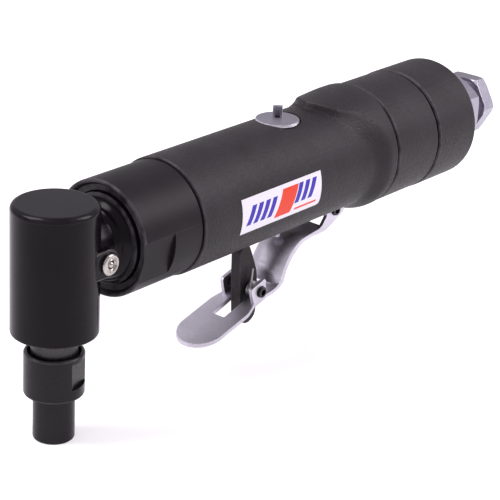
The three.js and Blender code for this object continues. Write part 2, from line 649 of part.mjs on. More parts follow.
function leverSheet() {
  const curve = new THREE.SplineCurve(LEVER_LINE.map(([x, z]) => new THREE.Vector2(x, z)));
  const across = 6;
  const along = 30;
  const vertices = [];
  const faces = [];
  for (const lift of [0, SHEET]) {
    for (let i = 0; i <= along; i += 1) {
      const point = curve.getPointAt(i / along);
      const tangent = curve.getTangentAt(i / along);
      for (let j = 0; j <= across; j += 1) {
        const v = (2 * j) / across - 1;
        const y = v * leverHalfWidth(point.x);
        const rise = lift + leverCrown(point.x) * (1 - v * v * v * v);
        vertices.push(point.x + tangent.y * rise, y, point.y - tangent.x * rise);
      }
    }
  }
  const row = across + 1;
  const upper = row * (along + 1);
  const quad = (a, b, c, d) => faces.push(a, b, c, a, c, d);
  for (let i = 0; i < along; i += 1) {
    for (let j = 0; j < across; j += 1) {
      const a = i * row + j;
      quad(a, a + 1, a + row + 1, a + row);
      quad(upper + a, upper + a + row, upper + a + row + 1, upper + a + 1);
    }
    quad(i * row, (i + 1) * row, upper + (i + 1) * row, upper + i * row);
    quad(i * row + across, upper + i * row + across, upper + (i + 1) * row + across, (i + 1) * row + across);
  }
  for (let j = 0; j < across; j += 1) {
    quad(j, upper + j, upper + j + 1, j + 1);
    const end = along * row + j;
    quad(end, end + 1, upper + end + 1, upper + end);
  }
  const sheet = new THREE.BufferGeometry();
  sheet.setAttribute('position', new THREE.BufferAttribute(new Float32Array(vertices), 3));
  sheet.setIndex(faces);
  return solid(sheet);
}

const SLOT_FRONT = 81.6; // the lock lever stands in this slot
const SLOT_REAR = 97.9;
const SLOT_HALF = 2.7;

function throttleLever() {
  const hingeEar = [
    [138.4, -16.9], [138.4, -21.2], [128.0, -25.6], [122.0, -25.9], [122.0, -24.2], [127.0, -22.0],
    [129.2, -16.4],
  ];
  const lockEar = [[95.4, -34.2], [95.4, -42.4], [89.5, -44.0], [87.9, -36.6]];
  let lever = leverSheet();
  for (const side of [-1, 1]) {
    const outer = side * LEVER_HALF;
    const inner = side * (LEVER_HALF - SHEET);
    lever = lever.add(solid(plateY(hingeEar, Math.min(outer, inner), Math.max(outer, inner))));
    lever = lever.add(solid(plateY(lockEar, Math.min(outer, inner), Math.max(outer, inner))));
  }
  const slot = solid(block(SLOT_FRONT, SLOT_REAR, -SLOT_HALF, SLOT_HALF, -60, -30))
    .add(solid(rodZ(-60, -30, SLOT_HALF, 12)).translate([SLOT_FRONT, 0, 0]));
  const pinBore = solid(rodY(HINGE_X, HINGE_Z, -12, 12, PIN_HOLE_R));
  const lockBore = solid(rodY(LOCK_X, LOCK_Z, -12, 12, 1.9));
  return lever.subtract(slot).subtract(pinBore).subtract(lockBore);
}
add('throttle_lever', throttleLever(), steel);
add('hinge_pin', rodY(HINGE_X, HINGE_Z, -7.7, 7.7, 1.75), darkSteel);

// ---------------------------------------------------------------- lock lever
// Flat bar through the slot of the tongue, held upright under the grip by a torsion spring.
const LOCK_HALF = 2.1;
const LOCK_TOP_R = 16.4; // from the pivot to the rounded top
const LOCK_PIN_R = 1.6;

// Point of the rounded top, by its angle forward of straight up at the pivot.
function lockTop(radius, degrees) {
  const angle = THREE.MathUtils.degToRad(degrees);
  return [LOCK_X - radius * Math.sin(angle), LOCK_Z + radius * Math.cos(angle)];
}

function lockLever() {
  const outline = [
    lockTop(LOCK_TOP_R, 5.5), lockTop(LOCK_TOP_R, 10), lockTop(LOCK_TOP_R, 15), lockTop(LOCK_TOP_R - 1.6, 23),
    [87.5, -36.0], [88.4, -48.6], [89.6, -51.0], [92.2, -52.1], [95.0, -51.4], [96.8, -49.4],
    [97.2, -46.5], [97.0, -34.0], [94.6, -28.0],
  ];
  const bar = solid(plateY(outline, -LOCK_HALF, LOCK_HALF));
  return bar.subtract(solid(rodY(LOCK_X, LOCK_Z, -5, 5, LOCK_PIN_R + 0.35)));
}
add('lock_lever', lockLever(), blackComposite);
add('lock_pin', rodY(LOCK_X, LOCK_Z, -7.8, 7.8, LOCK_PIN_R), darkSteel);

// Torsion spring on the pin, between the near ear and the bar: a coil and one leg up the bar.
function lockSpring() {
  const coilR = 2.4;
  const bore = solid(rodY(LOCK_X, LOCK_Z, -6, -2, coilR - 0.4));
  const coil = solid(rodY(LOCK_X, LOCK_Z, -5.2, -2.6, coilR));
  const leg = solid(block(90.4, 91.3, -4.6, -3.7, LOCK_Z + 0.5, LOCK_Z + 8.9));
  return coil.add(leg).subtract(bore);
}
add('lock_spring', lockSpring(), steel);

export default scene;
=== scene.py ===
# Right-angle air die grinder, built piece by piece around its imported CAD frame. Lengths are in
# millimetres and are turned into metres where a mesh is made. Inside the tool, x is measured from the
# spindle axis, z from the axis of the round body, and the air inlet points to +X.
import math

import bmesh
import bpy
from mathutils import Matrix, Vector


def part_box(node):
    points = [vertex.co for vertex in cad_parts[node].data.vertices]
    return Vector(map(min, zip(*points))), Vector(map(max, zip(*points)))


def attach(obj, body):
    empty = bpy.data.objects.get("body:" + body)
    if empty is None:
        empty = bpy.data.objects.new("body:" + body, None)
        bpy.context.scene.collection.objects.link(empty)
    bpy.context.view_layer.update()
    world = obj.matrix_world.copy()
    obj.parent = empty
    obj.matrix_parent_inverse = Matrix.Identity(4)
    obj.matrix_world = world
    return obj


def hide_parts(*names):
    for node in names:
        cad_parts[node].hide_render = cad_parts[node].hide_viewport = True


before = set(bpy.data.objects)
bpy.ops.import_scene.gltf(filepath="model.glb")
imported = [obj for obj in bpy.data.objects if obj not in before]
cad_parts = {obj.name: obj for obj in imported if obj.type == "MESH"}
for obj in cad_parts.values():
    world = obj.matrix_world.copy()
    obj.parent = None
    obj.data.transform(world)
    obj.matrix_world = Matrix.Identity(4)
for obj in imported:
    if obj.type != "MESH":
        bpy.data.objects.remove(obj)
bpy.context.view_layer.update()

# ---------------------------------------------------------------- camera
# A long lens a little above the tool, in front of the angle head and turned towards its label side.
CAMERA_PLACE = (-0.4872, -0.3832, 0.2914)
CAMERA_AZIMUTH = -51.151
CAMERA_ELEVATION = 22.654
CAMERA_ROLL = 2.931
LENS = 137.49
SENSOR = 36.0

lens = bpy.data.cameras.new("camera")
lens.lens = LENS
lens.sensor_width = SENSOR
lens.clip_start = 0.01
camera = bpy.data.objects.new("camera", lens)
bpy.context.scene.collection.objects.link(camera)
camera.matrix_world = (
    Matrix.Translation(CAMERA_PLACE)
    @ Matrix.Rotation(math.radians(CAMERA_AZIMUTH), 4, "Z")
    @ Matrix.Rotation(math.radians(90.0 - CAMERA_ELEVATION), 4, "X")
    @ Matrix.Rotation(math.radians(CAMERA_ROLL), 4, "Z")
)
bpy.context.scene.camera = camera

# ---------------------------------------------------------------- studio
# White floor that glows a little, a tall softbox on either side of the tool and a pale surround.
FLOOR_HALF = 3.0
FLOOR_WHITE = (0.93, 0.93, 0.93, 1.0)
LAMP_TINT = (1.0, 0.95, 1.0)


def softbox(name, azimuth, elevation, distance, width, height, power):
    """Area light on a sphere round the tool, facing it. Azimuth 0 stands on the -Y side."""
    light = bpy.data.lights.new(name, "AREA")
    light.shape = "RECTANGLE"
    light.size = width
    light.size_y = height
    light.energy = power
    light.color = LAMP_TINT
    stand = bpy.data.objects.new(name, light)
    bpy.context.scene.collection.objects.link(stand)
    turn = Matrix.Rotation(math.radians(azimuth), 4, "Z")
    tilt = Matrix.Rotation(math.radians(90.0 - elevation), 4, "X")
    middle = Matrix.Translation((0.0, 0.0, 0.06))
    stand.matrix_world = middle @ turn @ tilt @ Matrix.Translation((0.0, 0.0, distance))
    return stand


bpy.ops.object.select_all(action="DESELECT")
bpy.ops.mesh.primitive_plane_add(size=2 * FLOOR_HALF)
floor = bpy.context.object
floor.name = "floor"
floor_paint = bpy.data.materials.new("floor_white")
floor_paint.use_nodes = True
floor_paint.node_tree.nodes["Principled BSDF"].inputs["Base Color"].default_value = FLOOR_WHITE
floor_paint.node_tree.nodes["Principled BSDF"].inputs["Roughness"].default_value = 0.9
floor_paint.node_tree.nodes["Principled BSDF"].inputs["Emission Color"].default_value = FLOOR_WHITE
floor_paint.node_tree.nodes["Principled BSDF"].inputs["Emission Strength"].default_value = 0.16
floor.data.materials.append(floor_paint)

softbox("softbox_left", -128.0, 52.0, 1.0, 0.45, 0.6, 7.8)
softbox("softbox_right", 42.0, 40.0, 1.0, 0.45, 0.65, 7.8)

surround = bpy.data.worlds.new("surround")
bpy.context.scene.world = surround
surround.use_nodes = True
surround.node_tree.nodes["Background"].inputs["Color"].default_value = (0.97, 0.94, 1.0, 1.0)
surround.node_tree.nodes["Background"].inputs["Strength"].default_value = 0.68
bpy.context.scene.view_settings.view_transform = "Standard"

# ---------------------------------------------------------------- angle head
# Cast and turned aluminium head, anodised black: a closed barrel round the spindle, a neck with a flange
# towards the grip, and a side lug that carries the grease fitting.
MM = 0.001
TOOL_ORIGIN = Vector((
    sum(corner.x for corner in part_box("spindle")) / 2,
    0.0,
    sum(corner.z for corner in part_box("rear_cap")) / 2,
))
AXES = {"X": Vector((1, 0, 0)), "Y": Vector((0, 1, 0)), "Z": Vector((0, 0, 1))}
AXIS_TURNS = {"X": (0, math.pi / 2, 0), "Y": (-math.pi / 2, 0, 0), "Z": (0, 0, 0)}


def place(x, y, z):
    """Point of the tool in the row frame, in metres."""
    return TOOL_ORIGIN + Vector((x, y, z)) * MM


def reach(node):
    """Lowest and highest corner of a CAD node, in tool millimetres."""
    low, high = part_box(node)
    return (low - TOOL_ORIGIN) / MM, (high - TOOL_ORIGIN) / MM


def smoothstep(low, high, value):
    share = min(1.0, max(0.0, (value - low) / (high - low)))
    return share * share * (3.0 - 2.0 * share)


def arc(cx, cy, radius, start, end, steps):
    """Points round a circle from start to end, in degrees."""
    turns = (math.radians(start + (end - start) * i / steps) for i in range(steps + 1))
    return [(cx + radius * math.cos(t), cy + radius * math.sin(t)) for t in turns]


def only(piece):
    """Selects one piece alone and makes it the active one."""
    bpy.ops.object.select_all(action="DESELECT")
    piece.select_set(True)
    bpy.context.view_layer.objects.active = piece


def settle():
    """Leaves edit mode with doubles merged and faces turned out."""
    bpy.ops.mesh.select_all(action="SELECT")
    bpy.ops.mesh.remove_doubles(threshold=1e-7)
    bpy.ops.mesh.normals_make_consistent(inside=False)
    bpy.ops.object.mode_set(mode="OBJECT")


def turned(name, axis, stations, spot=(0, 0, 0), sides=144):
    """Turned piece: a ring drawn along an axis through (place, radius) stations.

    A path that ends where it began makes a tube, any other path a solid with flat ends.
    """
    tube = stations[0] == stations[-1]
    start, radius = stations[0]
    along = AXES[axis]
    centre = place(*spot) + along * start * MM
    bpy.ops.object.select_all(action="DESELECT")
    bpy.ops.mesh.primitive_circle_add(
        vertices=sides, radius=radius * MM, fill_type="NOTHING" if tube else "NGON",
        location=centre, rotation=AXIS_TURNS[axis],
    )
    bpy.ops.object.transform_apply(location=True, rotation=True, scale=True)
    piece = bpy.context.object
    piece.name = name
    bpy.ops.object.mode_set(mode="EDIT")
    bpy.ops.mesh.select_all(action="SELECT")
    for (here, now), (there, then) in zip(stations, stations[1:]):
        step = along * (there - here) * MM
        centre = centre + step
        bpy.ops.mesh.extrude_region_move(TRANSFORM_OT_translate={"value": step})
        bpy.ops.transform.resize(value=(then / now,) * 3, center_override=centre)
    settle()
    return piece


def plate(name, axis, outline, low, high):
    """Flat piece: a ring of corners dragged to an outline, then drawn along an axis from low to high.

    The outline lies in the X-Z plane for axis Y, in X-Y for Z and in Y-Z for X.
    """
    along = AXES[axis]
    bpy.ops.object.select_all(action="DESELECT")
    bpy.ops.mesh.primitive_circle_add(vertices=len(outline), radius=MM, fill_type="NGON")
    piece = bpy.context.object
    piece.name = name
    for vertex, (a, b) in zip(piece.data.vertices, outline):
        corner = {"X": (low, a, b), "Y": (a, low, b), "Z": (a, b, low)}[axis]
        vertex.co = place(*corner)
    bpy.ops.object.mode_set(mode="EDIT")
    bpy.ops.mesh.select_all(action="SELECT")
    step = along * (high - low) * MM
    bpy.ops.mesh.extrude_region_move(TRANSFORM_OT_translate={"value": step})
    settle()
    return piece


def apply(piece, kind, **settings):
    """Adds a modifier to a piece and applies it."""
    modifier = piece.modifiers.new(kind.lower(), kind)
    for key, value in settings.items():
        setattr(modifier, key, value)
    only(piece)
    bpy.ops.object.modifier_apply(modifier=modifier.name)


def combine(piece, other, operation):
    """Joins other to a piece, or cuts or trims the piece with it, and uses it up."""
    apply(piece, "BOOLEAN", object=other, operation=operation, solver="EXACT")
    bpy.data.objects.remove(other)
    return piece


def swing(piece, axis, degrees, spot=(0, 0, 0)):
    """Swings a piece round a line along an axis through a spot."""
    centre = place(*spot)
    turn = Matrix.Rotation(math.radians(degrees), 4, axis)
    piece.data.transform(Matrix.Translation(centre) @ turn @ Matrix.Translation(-centre))
    return piece


def ease(piece, width, segments=3, angle=35):
    """Rounds the sharp edges of a piece."""
    apply(
        piece, "BEVEL", width=width * MM, segments=segments, limit_method="ANGLE",
        angle_limit=math.radians(angle), miter_outer="MITER_ARC",
    )
    return piece


# Small faces on sharp outward bends get a lighter colour: partly wear, partly a painted highlight along
# rounded edges.
WEAR_AND_HIGHLIGHT_FACE = 1.8


def mark_edges(piece, bends):
    """Stores on each small face how tightly it bends outwards, so that a finish can show a lighter edge
    colour there: partly wear, partly a painted highlight.

    bends holds the radians per millimetre at which that lighter edge colour begins and is full.
    """
    mesh = bmesh.new()
    mesh.from_mesh(piece.data)
    wear_highlight_layer = mesh.faces.layers.float.new("edge_wear_and_highlight")
    for edge in mesh.edges:
        if len(edge.link_faces) != 2:
            continue
        one, other = edge.link_faces
        gap = (one.calc_center_bounds() - other.calc_center_bounds()).length / MM
        bend = edge.calc_face_angle_signed(0.0)
        if bend < 0.12 or gap < 0.01:
            continue
        wear_highlight_share = smoothstep(*bends, bend / gap)
        for face in (one, other):
            if face.calc_area() < WEAR_AND_HIGHLIGHT_FACE * MM * MM:
                face[wear_highlight_layer] = max(face[wear_highlight_layer], wear_highlight_share)
    mesh.to_mesh(piece.data)
    mesh.free()


def shade(piece, angle=40, bends=(0.35, 1.1)):
    """Smooth shading that keeps edges over the angle and keeps flat faces flat."""
    mark_edges(piece, bends)
    only(piece)
    bpy.ops.object.shade_smooth_by_angle(angle=math.radians(angle))
    apply(piece, "WEIGHTED_NORMAL", keep_sharp=True, weight=100)
    return piece


def seat(piece, body, slot, *nodes):
    """The piece stands for CAD nodes, moves with their body and hides them; slot is not used."""
    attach(piece, body)
    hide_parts(*nodes)


def coating(name, dark, light, rough, grain, depth, metallic=0.0, specular=0.5, stretch=(1, 1, 1),
            rubbed_and_highlight=None):
    """Finish with slow drifts of colour and gloss and a fine grain raised by a bump.

    rough is the span of roughness, grain the grains per metre and depth the height of a grain in metres.
    stretch squeezes the grain along each axis, which draws it out into brush lines. The edge colour, given
    last, shows along sharply bent edges, partly as wear and partly as a painted highlight.
    """
    material = bpy.data.materials.new(name)
    material.use_nodes = True
    nodes = material.node_tree.nodes
    link = material.node_tree.links.new
    shader = nodes["Principled BSDF"]
    shader.inputs["Metallic"].default_value = metallic
    shader.inputs["Specular IOR Level"].default_value = specular
    spot = nodes.new("ShaderNodeTexCoord")
    squeeze = nodes.new("ShaderNodeMapping")
    squeeze.inputs["Scale"].default_value = stretch
    link(spot.outputs["Object"], squeeze.inputs["Vector"])

    drift = nodes.new("ShaderNodeTexNoise")
    drift.inputs["Scale"].default_value = 90.0
    drift.inputs["Detail"].default_value = 5.0
    link(spot.outputs["Object"], drift.inputs["Vector"])
    fine = nodes.new("ShaderNodeTexNoise")
    fine.inputs["Scale"].default_value = grain
    fine.inputs["Detail"].default_value = 4.0
    fine.inputs["Roughness"].default_value = 0.6
    link(squeeze.outputs["Vector"], fine.inputs["Vector"])
    mottle = nodes.new("ShaderNodeMix")
    mottle.inputs["Factor"].default_value = 0.5
    link(drift.outputs["Fac"], mottle.inputs["A"])
    link(fine.outputs["Fac"], mottle.inputs["B"])
    tint = nodes.new("ShaderNodeValToRGB")
    tint.color_ramp.elements[0].position = 0.38
    tint.color_ramp.elements[0].color = (*dark, 1.0)
    tint.color_ramp.elements[1].position = 0.62
    tint.color_ramp.elements[1].color = (*light, 1.0)
    link(mottle.outputs["Result"], tint.inputs["Fac"])
    colour = tint.outputs["Color"]
    # Lighter colour on sharply bent edges: partly wear, partly a painted highlight.
    if rubbed_and_highlight:
        edges = nodes.new("ShaderNodeAttribute")
        edges.attribute_name = "edge_wear_and_highlight"
        patches = nodes.new("ShaderNodeTexNoise")
        patches.inputs["Scale"].default_value = 240.0
        link(spot.outputs["Object"], patches.inputs["Vector"])
        share = nodes.new("ShaderNodeMapRange")
        share.inputs["From Min"].default_value = 0.25
        share.inputs["From Max"].default_value = 0.62
        link(patches.outputs["Fac"], share.inputs["Value"])
        wear_highlight_share = nodes.new("ShaderNodeMath")
        wear_highlight_share.operation = "MULTIPLY"
        link(edges.outputs["Fac"], wear_highlight_share.inputs[0])
        link(share.outputs["Result"], wear_highlight_share.inputs[1])
        bare_and_highlight = nodes.new("ShaderNodeMix")
        bare_and_highlight.data_type = "RGBA"
        link(wear_highlight_share.outputs["Value"], bare_and_highlight.inputs["Factor"])
        link(colour, bare_and_highlight.inputs["A"])
        bare_and_highlight.inputs["B"].default_value = (*rubbed_and_highlight, 1.0)
        colour = bare_and_highlight.outputs["Result"]
    link(colour, shader.inputs["Base Color"])

    gloss = nodes.new("ShaderNodeMapRange")
    gloss.inputs["From Min"].default_value = 0.3
    gloss.inputs["From Max"].default_value = 0.7
    gloss.inputs["To Min"].default_value = rough[0]
    gloss.inputs["To Max"].default_value = rough[1]
    link(fine.outputs["Fac"], gloss.inputs["Value"])
    link(gloss.outputs["Result"], shader.inputs["Roughness"])
    raise_grain = nodes.new("ShaderNodeBump")
    raise_grain.inputs["Strength"].default_value = 0.6
    raise_grain.inputs["Distance"].default_value = depth
    link(fine.outputs["Fac"], raise_grain.inputs["Height"])
    link(raise_grain.outputs["Normal"], shader.inputs["Normal"])
    return material


def paint(piece, material):
    """Gives a piece one material all over."""
    piece.data.materials.clear()
    piece.data.materials.append(material)


HEAD_R = 13.95
HEAD_EDGE = 1.9
LUG = (10.2, -1.7)
LUG_R = 4.7
LUG_FACE = -13.2
NECK_R = 10.4
FLANGE_R = 15.0
SEAT_R = 17.4

# Its lighter edge colour is partly wear, partly a painted highlight on sharp edges.
anodised_black = coating(
    "anodised_black", (0.0036, 0.0022, 0.0038), (0.0054, 0.0036, 0.0056), (0.17, 0.23), 1500.0, 0.000002,
    specular=0.11, rubbed_and_highlight=(0.05, 0.047, 0.052),
)
head_low, head_high = reach("angle_head")
barrel_top = [
    (z, r) for r, z in arc(HEAD_R - HEAD_EDGE, head_high.z - HEAD_EDGE, HEAD_EDGE, 0, 90, 10)
]
head = turned("head_casting", "Z", [
    (head_low.z + 5.2, 11.5), (head_low.z + 0.2, 11.5), (head_low.z, 11.7), (head_low.z, HEAD_R - 0.5),
    (head_low.z + 0.15, HEAD_R - 0.15), (head_low.z + 0.5, HEAD_R), *barrel_top,
], sides=192)
cove = [(x, r) for x, r in arc(15.2, 13.4, 2.9, -90, -25, 8)]
neck = turned("neck", "X", [
    (6.0, NECK_R), (14.0, NECK_R), *cove, (19.0, 13.2), (19.9, 13.5), (20.15, 13.9), (20.15, FLANGE_R - 0.4),
    (20.3, FLANGE_R - 0.1), (20.6, FLANGE_R), (24.8, FLANGE_R), (24.8, SEAT_R), (head_high.x, SEAT_R),
])
lug_outline = [
    *arc(LUG[0], LUG[1], LUG_R, -90, 90, 40), (2.0, LUG[1] + LUG_R), (2.0, LUG[1] - LUG_R),
]
lug = ease(plate("lug", "Y", lug_outline, LUG_FACE, -5.0), 0.7, segments=5)
combine(head, neck, "UNION")
combine(head, lug, "UNION")
shade(head, angle=30)
paint(head, anodised_black)
seat(head, "housing", "black_aluminium", "angle_head")

# ---------------------------------------------------------------- grease fitting
# Plated steel fitting driven into the lug: a domed flange with a dished mouth and a sprung ball in it.
zinc_bright = coating(
    "zinc_bright", (0.36, 0.33, 0.31), (0.50, 0.47, 0.45), (0.20, 0.32), 1800.0, 0.000004, metallic=1.0,
)
RING_R = 3.55
dome = [(LUG_FACE - h, r) for r, h in arc(RING_R - 0.75, 0.45, 0.75, 0, 75, 6)]
fitting = turned("grease_fitting_body", "Y", [
    (LUG_FACE + 4.0, 1.25), (LUG_FACE + 4.0, 1.9), (LUG_FACE - 0.1, 1.9), (LUG_FACE - 0.1, RING_R - 0.1),
    *dome, (LUG_FACE - 1.2, 2.5), (LUG_FACE - 0.85, 2.3), (LUG_FACE - 0.9, 1.9), (LUG_FACE - 1.1, 1.65),
    (LUG_FACE - 0.9, 1.4), (LUG_FACE - 0.2, 1.25), (LUG_FACE + 4.0, 1.25),
], spot=(LUG[0], 0, LUG[1]), sides=72)
shade(fitting, angle=50)
paint(fitting, zinc_bright)
seat(fitting, "housing", "satin_steel", "grease_fitting")

bpy.ops.object.select_all(action="DESELECT")
bpy.ops.mesh.primitive_uv_sphere_add(
    segments=32, ring_count=16, radius=1.1 * MM, location=place(LUG[0], LUG_FACE - 0.35, LUG[1]),
)
bpy.ops.object.transform_apply(location=True, rotation=True, scale=True)
ball = bpy.context.object
ball.name = "grease_fitting_ball"
shade(ball, angle=60)
paint(ball, zinc_bright)
seat(ball, "housing", "satin_steel", "grease_ball")

# ---------------------------------------------------------------- clamp nut
# Turned aluminium ring nut that draws the head flange onto the grip, black like the head, with two flats
# for a wrench milled into its front half.
NUT_R = 19.36
NUT_FLAT_DEPTH = 1.4
NUT_FLAT_TURN = 11.0
NUT_FLAT_LENGTH = 13.6

# Its lighter edge colour is partly wear, partly a painted highlight on sharp edges.
nut_black = coating(
    "nut_black", (0.0060, 0.0042, 0.0060), (0.0100, 0.0075, 0.0100), (0.40, 0.50), 1800.0, 0.000015,
    specular=0.15, rubbed_and_highlight=(0.060, 0.055, 0.062),
)
nut_low, nut_high = reach("clamp_nut")
rim = [(x, r) for x, r in arc(nut_low.x + 0.7, NUT_R - 0.7, 0.7, 180, 90, 6)]
nut = turned("clamp_ring", "X", [
    (nut_low.x + 1.7, 15.4), (nut_low.x + 1.5, 17.3), (nut_low.x + 0.9, 17.9), (nut_low.x + 0.25, 18.2), *rim,
    (nut_high.x - 0.4, NUT_R), (nut_high.x, NUT_R - 0.4), (nut_high.x, 17.5), (nut_low.x + 4.3, 17.5),
    (nut_low.x + 4.3, 15.4), (nut_low.x + 1.7, 15.4),
], sides=192)
for half_turn in (0.0, 180.0):
    flat = plate("flat", "Y", [
        (nut_low.x - 2, -20), (nut_low.x + NUT_FLAT_LENGTH, -20),
        (nut_low.x + NUT_FLAT_LENGTH, 20), (nut_low.x - 2, 20),
    ], -NUT_R - 3, -NUT_R + NUT_FLAT_DEPTH)
    combine(nut, swing(flat, "X", NUT_FLAT_TURN + half_turn), "DIFFERENCE")
shade(nut, angle=30)
paint(nut, nut_black)
seat(nut, "housing", "black_aluminium", "clamp_nut")

# ---------------------------------------------------------------- grip housing
# Moulded composite grip with a fine cast texture. It flares to a rear rim: on top the flare starts early
# as a hood behind the regulator, at the sides late, and below it starts behind the lever hinge.
GRIP_R = 20.04
FLARE_LINE = [
    (-20, 121.5), (0, 120.4), (12, 122.3), (20, 124.2), (26, 125.2), (32, 125.0), (38, 124.6), (44, 125.6),
    (52, 128.6), (60, 132.4), (68, 135.4), (90, 136.4), (112, 137.0), (122, 136.4), (130, 135.6),
    (200, 135.6),
]
FLARE_RUN = [
    (-20, 1.9), (0, 1.8), (22, 2.2), (28, 4.5), (34, 11.0), (42, 16.0), (52, 15.0), (60, 12.0), (68, 9.5),
    (95, 8.5), (112, 8.2), (130, 9.5), (200, 9.5),
]
FLARE_CREST = [
    (-20, 23.26), (30, 23.1), (50, 22.75), (70, 22.6), (120, 22.5), (140, 22.4), (200, 22.4),
]

# Its lighter edge colour is partly wear, partly a painted highlight on sharp edges.
composite_black = coating(
    "composite_black", (0.0092, 0.0072, 0.0091), (0.0172, 0.0138, 0.0168), (0.42, 0.60), 1000.0, 0.0004,
    specular=0.24, rubbed_and_highlight=(0.050, 0.045, 0.050),
)


def between(table, key):
    """Straight value between the rows of a table."""
    for (low, first), (high, second) in zip(table, table[1:]):
        if key <= high:
            return first + (second - first) * (key - low) / (high - low)
    return table[-1][1]


def blend_table(table, key):
    """Value between the rows of a table, averaged over a few degrees so that it has no corners."""
    return sum(between(table, key + spread) for spread in (-5, -3, -1, 1, 3, 5)) / 6


def grip_radius(x, turn):
    """Radius of the grip at x, where turn is in degrees from straight up."""
    start = blend_table(FLARE_LINE, turn)
    rise = smoothstep(start, start + blend_table(FLARE_RUN, turn), x)
    crest = 22.3 + (blend_table(FLARE_CREST, turn) - 22.3) * smoothstep(126.0, 144.0, x)
    return GRIP_R + (crest - GRIP_R) * rise


GRIP_FRONT = 47.3
REGULATOR_X = 106.0
DIAL_SEAT = 18.7
SPOT_FACE_R = 8.2
VALVE_X = 109.0
VALVE_HOLE_R = 1.95
FLARE_FROM = 118.0
FLARE_TO = 147.0
FLARE_STEPS = 110
flare_stations = [
    (FLARE_FROM + (FLARE_TO - FLARE_FROM) * i / FLARE_STEPS, GRIP_R) for i in range(FLARE_STEPS + 1)
]
front_edge = [(x, r) for x, r in arc(GRIP_FRONT + 0.6, GRIP_R - 0.6, 0.6, 180, 90, 5)]
rear_edge = [(x, r) for x, r in arc(FLARE_TO, GRIP_R - 1.5, 1.5, 80, 0, 8)]
grip = turned("grip_shell", "X", [
    (GRIP_FRONT - 0.02, 17.6), *front_edge, (60.0, GRIP_R), (80.0, GRIP_R), (100.0, GRIP_R), *flare_stations,
    *rear_edge, (FLARE_TO + 1.5, 11.4),
], sides=256)
for vertex in grip.data.vertices:
    spot = (vertex.co - TOOL_ORIGIN) / MM
    radius = math.hypot(spot.y, spot.z)
    turn = math.degrees(math.atan2(abs(spot.y), spot.z))
    if spot.x > FLARE_FROM - 0.01 and radius > 15.0:
        scale = 1.0 + (grip_radius(min(spot.x, FLARE_TO), turn) - GRIP_R) / radius
        vertex.co = place(spot.x, spot.y * scale, spot.z * scale)
for side in (-1, 1):
    pocket = plate("pocket", "Y", [(126.4, -30), (139.5, -30), (139.5, -14.7), (126.4, -14.7)],
                   min(side * 5.5, side * 7.7), max(side * 5.5, side * 7.7))
    combine(grip, pocket, "DIFFERENCE")
spot_face = turned("spot_face", "Z", [
    (DIAL_SEAT, SPOT_FACE_R), (30.0, SPOT_FACE_R),
], spot=(REGULATOR_X, 0, 0), sides=96)
combine(grip, spot_face, "DIFFERENCE")
valve_hole = turned("valve_hole", "Z", [
    (-30.0, VALVE_HOLE_R), (-12.0, VALVE_HOLE_R),
], spot=(VALVE_X, 0, 0), sides=48)
combine(grip, valve_hole, "DIFFERENCE")
shade(grip, angle=40, bends=(0.9, 2.0))
paint(grip, composite_black)
seat(grip, "housing", "black_composite", "grip_housing")

# ---------------------------------------------------------------- side label
# Printed film label on the near side of the grip, a white ground with a made-up pattern of slanted bars.
LABEL_CORNER = 2.0
LABEL_COLUMNS = 60
LABEL_ROWS = 24
LABEL_WHITE = (0.66, 0.63, 0.68)
LABEL_BLUE = (0.024, 0.014, 0.32)
LABEL_RED = (0.60, 0.035, 0.010)
LABEL_EDGE = (0.01, 0.01, 0.012)
# Bars as start and end along the label, bottom and top across it, slant, and colour.
LABEL_BARS = [
    (0.050, 0.105, 0.24, 0.76, 0.14, LABEL_BLUE), (0.135, 0.190, 0.24, 0.76, 0.14, LABEL_BLUE),
    (0.220, 0.275, 0.24, 0.76, 0.14, LABEL_BLUE), (0.305, 0.360, 0.24, 0.76, 0.14, LABEL_BLUE),
    (0.400, 0.600, 0.14, 0.88, 0.14, LABEL_RED),
    (0.640, 0.695, 0.36, 0.88, 0.14, LABEL_BLUE), (0.725, 0.780, 0.36, 0.88, 0.14, LABEL_BLUE),
    (0.810, 0.865, 0.36, 0.88, 0.14, LABEL_BLUE),
    (0.650, 0.930, 0.16, 0.22, 0.14, LABEL_RED),
]


